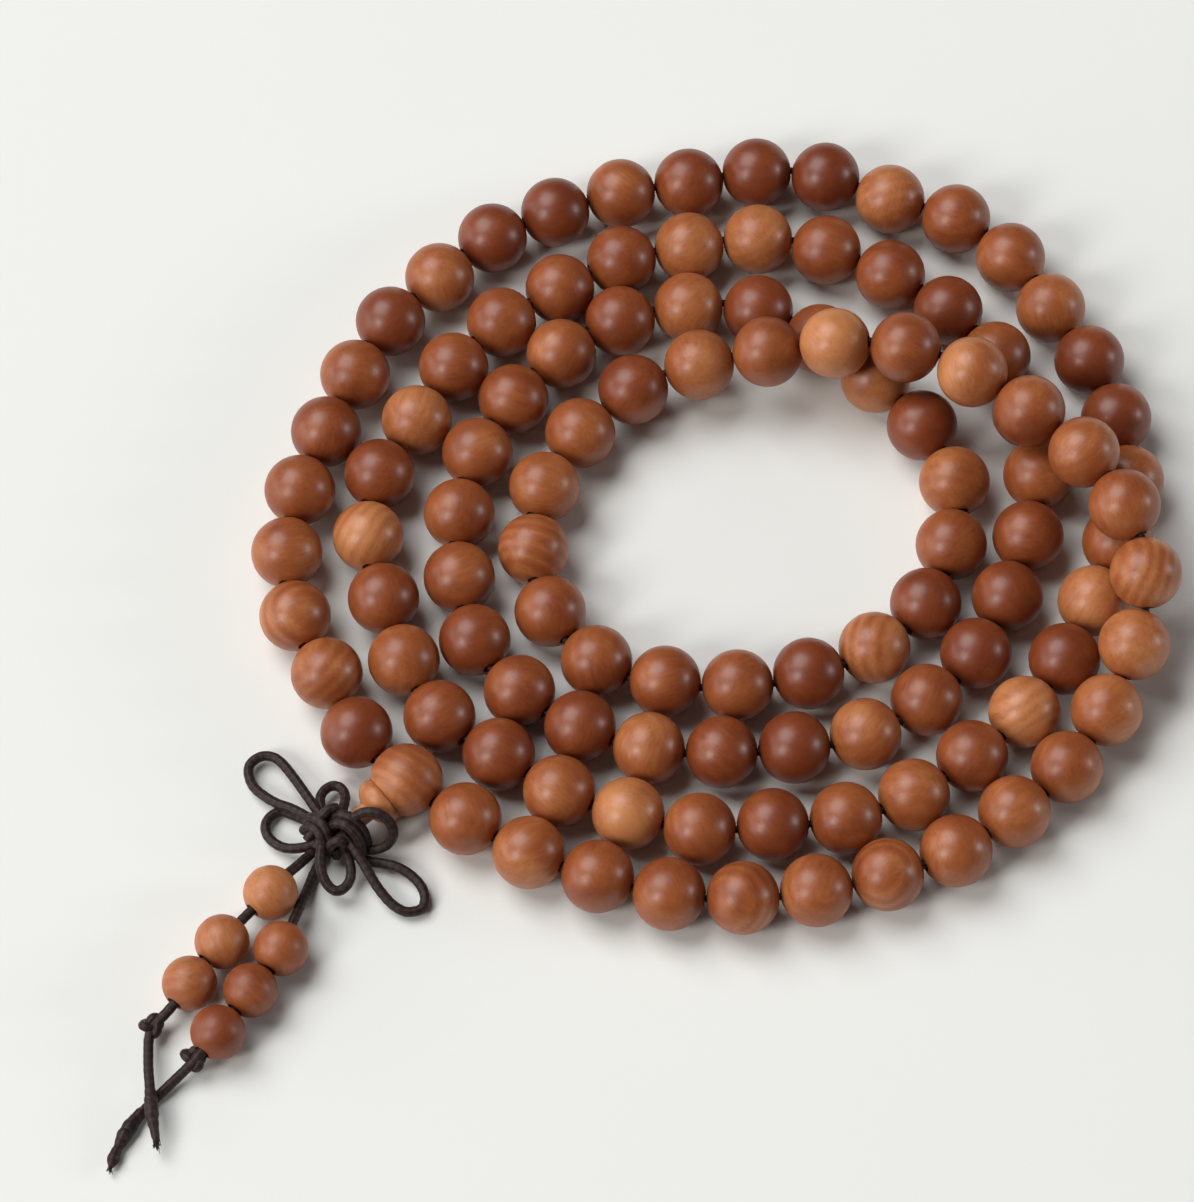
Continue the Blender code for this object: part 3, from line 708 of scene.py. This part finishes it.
def weave(shift):
    """Strands of the woven block: each goes over and under the ones that cross it, and dips at both ends."""
    middle = np.array(WEAVE_CENTRE)
    down = np.array([math.cos(WEAVE_HEADING), math.sin(WEAVE_HEADING), 0])
    across = np.array([-down[1], down[0], 0])
    strands = []
    for way, (run, step) in enumerate(((down, across), (across, down))):
        for k in range(WEAVE_COUNT):
            aside = (k - (WEAVE_COUNT - 1) / 2) * WEAVE_SPACING
            reach = WEAVE_REACH * (1 if abs(aside) < WEAVE_SPACING else 0.8)
            points = []
            for t in np.linspace(-1, 1, 17):
                phase = math.pi * (t * reach / WEAVE_SPACING + WEAVE_COUNT / 2 + k + way)
                lift = WEAVE_LIFT * math.cos(phase)
                dip = max(0.0, abs(t) - DIP_START) / (1 - DIP_START)
                crown = WEAVE_CROWN * (1 - (aside / WEAVE_HALF_WIDTH) ** 2)
                rise = np.array([0, 0, lift - dip + crown])
                points.append(middle + run * (t * reach) + step * aside + rise)
            strands.append(smooth(placed(points, shift), 4))
    return strands


def bow(guru, shift, skin):
    origin, out = tower_axis(guru)
    start = origin + out * (TOWER_OUTLINE[-1][1] * MM + BOW_PAST_STEM)
    paths = [smooth([start, start + out * 0.0006, placed([BOW_CENTRE], shift)[0]])]
    paths += [smooth(placed(points, shift)) for points in BOW_LOOPS.values()]
    paths += [smooth(placed(points, shift)) for points in TOP_STRANDS]
    paths += weave(shift)
    parts = [
        swept(evenly(path, FINE_STEP), TASSEL_CORD_RADIUS, sides=FINE_SIDES, relief=RELIEF) for path in paths
    ]
    return add("bow_cords", joined("bow_cords", parts), skin, "bow", ["bow_knot"])


def overhand(name, centre, size, heading, body, shift, skin):
    """A stopper knot: a pulled-tight three-lobed knot of the cord round itself."""
    angle = np.linspace(0, 2 * math.pi, 120, endpoint=False)
    x = (np.sin(angle) + 2 * np.sin(2 * angle)) / 3 * size[0]
    y = (np.cos(angle) - 2 * np.cos(2 * angle)) / 3 * size[1]
    z = -np.sin(3 * angle) * size[2]
    cosine, sine = math.cos(heading), math.sin(heading)
    turn = np.array([[cosine, -sine, 0], [sine, cosine, 0], [0, 0, 1]])
    path = np.stack([x, y, z], axis=1) @ turn.T + np.array(centre)
    mesh = joined(name, [swept(np.array(placed(path, shift)), TASSEL_CORD_RADIUS * 0.92, sides=FINE_SIDES,
                               relief=RELIEF, closed=True)])
    return add(name, mesh, skin, body, [])


def fray(name, tip, direction, count, body, rng, skin):
    """Fibres that fan out of a cut end."""
    direction = direction / np.linalg.norm(direction)
    parts = []
    for _ in range(count):
        start = tip - direction * 0.0004 + rng.normal(0, 0.00016, 3) * (1, 1, 0.5)
        lean = rng.normal(0, 0.2, 3) * (1, 1, 0.35)
        length = rng.uniform(0.0005, 0.0012)
        middle = start + (direction + lean * 0.5) * length * 0.5
        end = start + (direction + lean) * length
        end[2] = max(end[2], 0.0001)
        path = smooth([start, middle, end], 4)
        parts.append(swept(path, 0.00006, radii=np.linspace(1, 0.5, len(path)), sides=6))
    return add(name, joined(name, parts), skin, body, [])


def tail(name, root, route, tip_shape, body, node_name, shift, skin):
    """(piece, path) of a tail cord from its root inside the knot to its tip, thicker near the cut end."""
    path = evenly(smooth(placed([root] + route, shift)), FINE_STEP)
    from_tip = (lengths_along(path)[-1] - lengths_along(path)) / MM
    scales, places = np.array(tip_shape).T
    lumps = np.sin(from_tip * 4.1) + np.sin(from_tip * 6.7 + 1)
    radii = np.interp(from_tip, places, scales) * (1 + 0.03 * lumps * (from_tip < places[-1]))
    path[:, 2] = np.maximum(path[:, 2], TASSEL_CORD_RADIUS * radii * (1 + RELIEF))
    mesh = joined(name, [swept(path, TASSEL_CORD_RADIUS, radii=radii, sides=FINE_SIDES, relief=RELIEF)])
    return add(name, mesh, skin, body, [node_name]), path


# ---------------------------------------------------------------- stage, lights and camera

def table(skin):
    points = [(-3, -3, 0), (3, -3, 0), (3, 3, 0), (-3, 3, 0)]
    floor = bpy.data.objects.new("table", mesh_of("table", points, [(0, 1, 2, 3)]))
    bpy.context.scene.collection.objects.link(floor)
    floor.data.materials.append(skin)


def softbox(name, direction, distance, size, power, colour):
    """A rectangular light that faces the coil from a direction."""
    light = bpy.data.lights.new(name, "AREA")
    light.shape = "RECTANGLE"
    light.size, light.size_y = size
    light.energy = power
    light.color = colour
    lamp = bpy.data.objects.new(name, light)
    place = Vector(direction).normalized() * distance
    lamp.location = place
    lamp.rotation_euler = (-place).to_track_quat("-Z", "Y").to_euler()
    bpy.context.scene.collection.objects.link(lamp)


def lights():
    softbox("key", (-0.653, -0.45, 0.61), 2.4, (0.65, 0.95), 24, (1.0, 0.985, 0.96))
    softbox("window", (-0.47, 0.30, 0.83), 2.6, (1.9, 1.9), 60, (0.98, 0.99, 1.0))
    softbox("reflector", (-0.98, -0.12, 0.2), 2.4, (2.4, 0.8), 16, (1.0, 0.99, 0.98))
    softbox("side", (0.953, 0.024, 0.305), 2.4, (0.5, 0.6), 12, (1.0, 0.97, 0.97))
    world = bpy.data.worlds.new("studio")
    world.use_nodes = True
    background = world.node_tree.nodes["Background"]
    background.inputs["Color"].default_value = (0.93, 0.95, 1.0, 1)
    background.inputs["Strength"].default_value = 0.05
    bpy.context.scene.world = world


CAMERA_TARGET = (-13.3, -7.6, 0)
CAMERA_ELEVATION = math.radians(63.2)
CAMERA_DISTANCE = 0.58
CAMERA_LENS = 157.8


def camera(shift):
    lens = bpy.data.cameras.new("camera")
    lens.sensor_fit = "HORIZONTAL"
    lens.sensor_width = 36
    lens.lens = CAMERA_LENS
    eye = bpy.data.objects.new("camera", lens)
    back = Vector((0, -math.cos(CAMERA_ELEVATION), math.sin(CAMERA_ELEVATION)))
    eye.location = Vector(placed([CAMERA_TARGET], shift)[0]) + back * CAMERA_DISTANCE
    eye.rotation_euler = back.to_track_quat("Z", "Y").to_euler()
    bpy.context.scene.collection.objects.link(eye)
    bpy.context.scene.camera = eye


# ---------------------------------------------------------------- build

centres, along, gaps, shift = lay_strand()
camera(shift)

cord_skin = waxed_cord("waxed_cord_plait")
wood_skin = wood("sandalwood_turned", WOOD_TONES, 0.38)
pale_skin = wood("pale_sandalwood_turned", WOOD_TONES, 0.46)

left_tail, left_path = tail(
    "tail_left", LEFT_ROOT, LEFT_TAIL, LEFT_TIP, "tail_left", "tail_left_cord", shift, cord_skin
)
right_tail, right_path = tail(
    "tail_right", RIGHT_ROOT, RIGHT_TAIL, RIGHT_TIP, "tail_right", "tail_right_cord", shift, cord_skin
)
left_small = small_beads("left", LEFT_TAIL, LEFT_BEADS, LEFT_TONES, shift, pale_skin)
right_small = small_beads("right", RIGHT_TAIL, RIGHT_BEADS, RIGHT_TONES, shift, pale_skin)
left_knot = overhand("tail_left_stopper", LEFT_STOPPER, (1.0, 0.95, 0.4), 0.4, "tail_left", shift, cord_skin)
right_knot = overhand(
    "tail_right_stopper", RIGHT_STOPPER, (1.2, 0.85, 0.4), 2.3, "tail_right", shift, cord_skin
)
fibre_rng = np.random.default_rng(FRAY_SEED)
left_end = left_path[-1] - left_path[-12]
right_end = right_path[-1] - right_path[-12]
left_fray = fray("tail_left_fray", left_path[-1], left_end, 60, "tail_left", fibre_rng, cord_skin)
right_fray = fray("tail_right_fray", right_path[-1], right_end, 18, "tail_right", fibre_rng, cord_skin)
bow_piece = bow(centres[0], shift, cord_skin)

strand_beads(centres, along, wood_skin)
guru_bead(centres[0], along[0], pale_skin)
tower_bead(centres[0], pale_skin)
strand_cord(gaps, cord_skin)
tower_cord(centres[0], cord_skin)

table(table_finish())
lights()
bpy.context.scene.view_settings.view_transform = "Standard"
